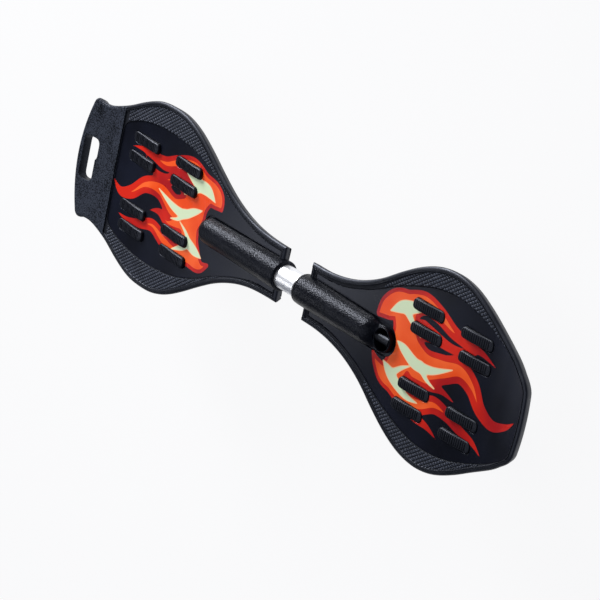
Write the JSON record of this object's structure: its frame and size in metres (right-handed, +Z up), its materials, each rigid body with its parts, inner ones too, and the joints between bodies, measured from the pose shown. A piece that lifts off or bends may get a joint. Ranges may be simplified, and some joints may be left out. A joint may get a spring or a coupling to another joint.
{
  "type": "caster board",
  "caption": "Caster board with a front and a rear foot deck on a sprung centre tube that twists, a carrying slot in the tail, and raked swivelling casters.",
  "frame": {"origin": "on the ground under the middle of the board, halfway between tail edge and nose edge", "axes": "+X towards the nose, +Y to the rider's left when facing the nose, +Z up"},
  "size_m": [0.88, 0.2354, 0.123],
  "materials": {
    "deck_plastic": "grained black moulding",
    "panel_plastic": "smooth dark inlay with a printed flame pattern",
    "aluminium": "satin drawn tube",
    "steel": "zinc plated",
    "spring_steel": "oiled spring steel",
    "black_steel": "black powder coat",
    "nylon": "moulded nylon",
    "urethane": "black polyurethane",
    "hub_plastic": "moulded hub"
  },
  "bodies": {
    "rear_half": {"rear_deck": "deck_plastic", "rear_deck_panel": "panel_plastic", "centre_tube": "aluminium", "rear_bar_plug": "steel", "rear_tube_screw": "steel", "rear_caster_plate": "steel", "rear_plate_screw_1": "steel", "rear_plate_screw_2": "steel", "rear_plate_screw_3": "steel", "rear_plate_screw_4": "steel", "rear_swivel_race": "steel", "rear_kingpin": "steel", "rear_kingpin_nut": "steel"},
    "front_half": {"front_deck": "deck_plastic", "front_deck_panel": "panel_plastic", "torsion_bar": "spring_steel", "mouth_sleeve": "nylon", "inner_sleeve": "nylon", "front_bar_screw": "steel", "front_caster_plate": "steel", "front_plate_screw_1": "steel", "front_plate_screw_2": "steel", "front_plate_screw_3": "steel", "front_plate_screw_4": "steel", "front_swivel_race": "steel", "front_kingpin": "steel", "front_kingpin_nut": "steel"},
    "rear_caster": {"rear_fork": "black_steel", "rear_axle_bolt": "steel", "rear_axle_nut": "steel", "rear_axle_spacer_left": "aluminium", "rear_axle_spacer_right": "aluminium", "rear_bearing_inner_left": "steel", "rear_bearing_inner_right": "steel"},
    "front_caster": {"front_fork": "black_steel", "front_axle_bolt": "steel", "front_axle_nut": "steel", "front_axle_spacer_left": "aluminium", "front_axle_spacer_right": "aluminium", "front_bearing_inner_left": "steel", "front_bearing_inner_right": "steel"},
    "rear_wheel": {"rear_wheel_hub": "hub_plastic", "rear_tyre": "urethane", "rear_bearing_outer_left": "steel", "rear_bearing_outer_right": "steel"},
    "front_wheel": {"front_wheel_hub": "hub_plastic", "front_tyre": "urethane", "front_bearing_outer_left": "steel", "front_bearing_outer_right": "steel"}
  },
  "joints": [
    {"name": "deck_twist", "type": "hinge", "parent": "rear_half", "child": "front_half", "pos_m": [0.018, 0, 0.10403], "axis": [1, 0, 0], "range_deg": [-25, 25], "stiffness_Nm_per_rad": 12},
    {"name": "rear_caster_swivel", "type": "hinge", "parent": "rear_half", "child": "rear_caster", "pos_m": [-0.24195, 0, 0.07723], "axis": [0.5, 0, 0.866], "continuous": true},
    {"name": "rear_wheel_spin", "type": "hinge", "parent": "rear_caster", "child": "rear_wheel", "pos_m": [-0.29, 0, 0.038], "axis": [0, 1, 0], "continuous": true},
    {"name": "front_caster_swivel", "type": "hinge", "parent": "front_half", "child": "front_caster", "pos_m": [0.25305, 0, 0.07723], "axis": [0.5, 0, 0.866], "continuous": true},
    {"name": "front_wheel_spin", "type": "hinge", "parent": "front_caster", "child": "front_wheel", "pos_m": [0.205, 0, 0.038], "axis": [0, 1, 0], "continuous": true}
  ]
}
